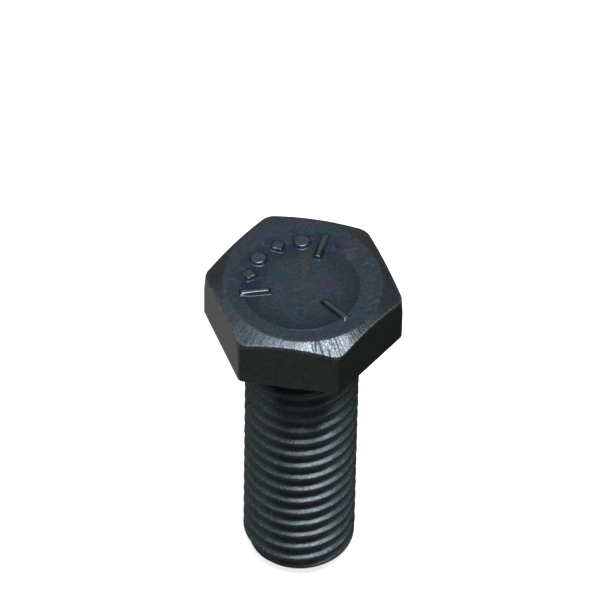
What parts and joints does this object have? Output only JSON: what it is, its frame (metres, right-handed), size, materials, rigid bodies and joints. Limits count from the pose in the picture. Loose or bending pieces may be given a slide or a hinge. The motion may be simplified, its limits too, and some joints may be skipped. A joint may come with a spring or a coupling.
{
  "type": "hex bolt",
  "caption": "Fully threaded hex bolt with a chamfered hexagon head, shallow top recess, raised grade bars and a flat chamfered point, for clamping parts with a wrench.",
  "frame": {"origin": "centre of the bearing face under the head, on the bolt's axis", "axes": "+Z along the bolt's axis up through the head, the shank runs towards -Z; two opposite corners of the hexagon lie on X"},
  "size_m": [0.0218, 0.019, 0.0424],
  "materials": {
    "head_steel": "blue-black oxide, satin, with fine tool marks on the chamfer",
    "mark_steel": "blue-black oxide, slightly burnished on the raised faces",
    "shank_steel": "blue-black oxide, satin",
    "thread_steel": "blue-black oxide on rolled threads, burnished on the crests"
  },
  "bodies": {
    "root": {"hex_head": "head_steel", "washer_face": "head_steel", "grade_bars": "mark_steel", "plain_pads": "mark_steel", "underhead_fillet": "shank_steel", "neck": "shank_steel", "thread_core": "thread_steel", "thread_ridge": "thread_steel", "chamfered_point": "thread_steel"}
  },
  "joints": []
}
